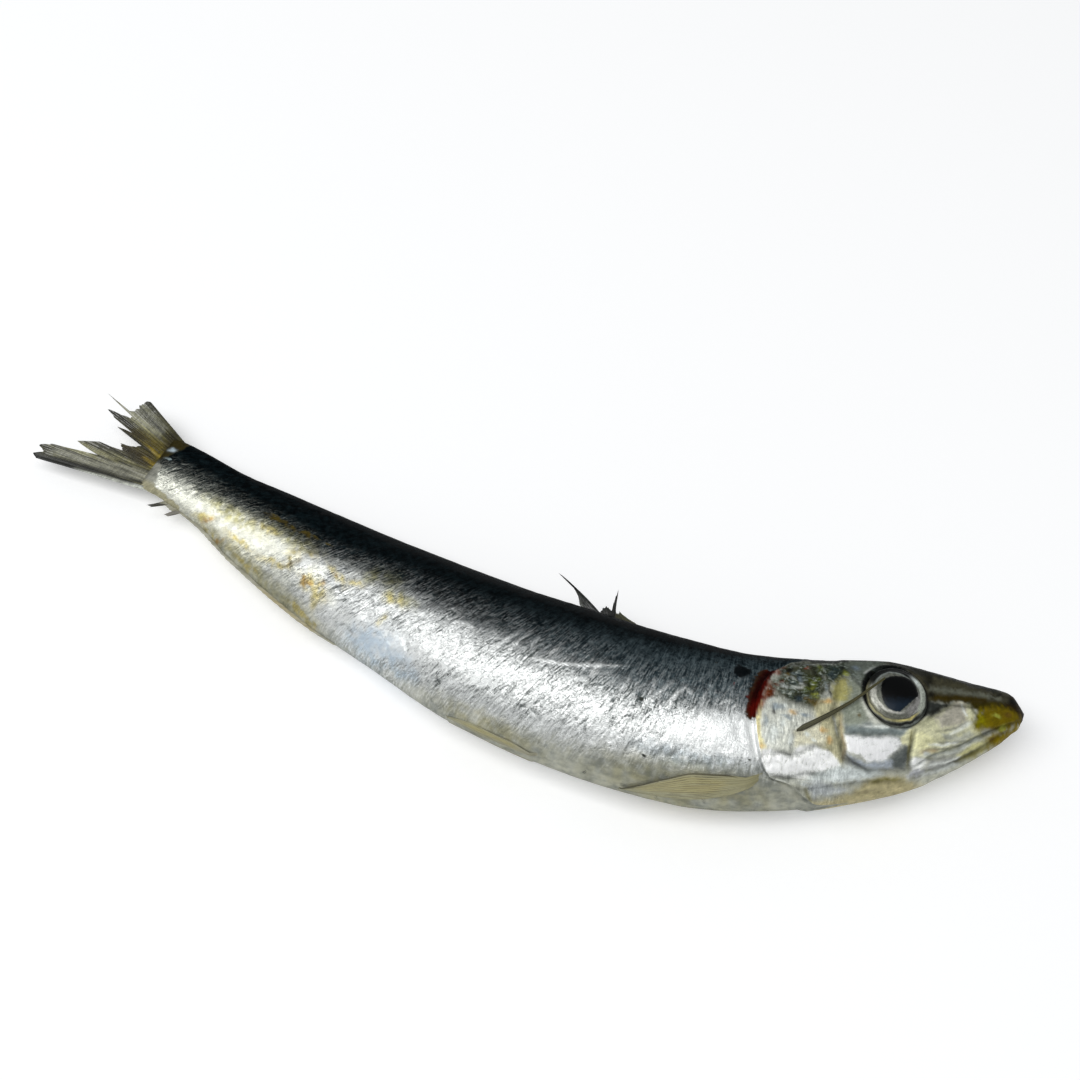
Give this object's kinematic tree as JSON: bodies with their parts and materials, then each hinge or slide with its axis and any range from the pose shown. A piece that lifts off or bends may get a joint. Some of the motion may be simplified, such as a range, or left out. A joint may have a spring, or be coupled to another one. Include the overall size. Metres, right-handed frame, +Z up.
{
  "type": "raw sardine",
  "caption": "Whole raw sardine lying bent on its left flank, with sunken eyes, gill covers, a torn tail fin and low ragged fins.",
  "frame": {"origin": "middle of the footprint, on the surface that the fish lies on", "axes": "+X towards the snout, +Y towards the back, +Z up from the surface"},
  "size_m": [0.1698, 0.0446, 0.0166],
  "materials": {
    "skin": "wet silver scales, blue-black along the back",
    "eye": "clear wet dome over a black pupil and a silver ring",
    "fin_dark": "thin olive membrane with dark rays",
    "fin_pale": "thin pale yellow membrane with fine rays"
  },
  "bodies": {
    "root": {"body": "skin", "eye_right": "eye", "eye_left": "eye", "caudal_fin": "fin_dark", "dorsal_fin": "fin_dark", "anal_fin": "fin_pale", "loose_fin_ray": "fin_dark", "pectoral_fin_right": "fin_pale", "pectoral_fin_left": "fin_pale", "pelvic_fin_right": "fin_pale", "pelvic_fin_left": "fin_pale"}
  },
  "joints": []
}
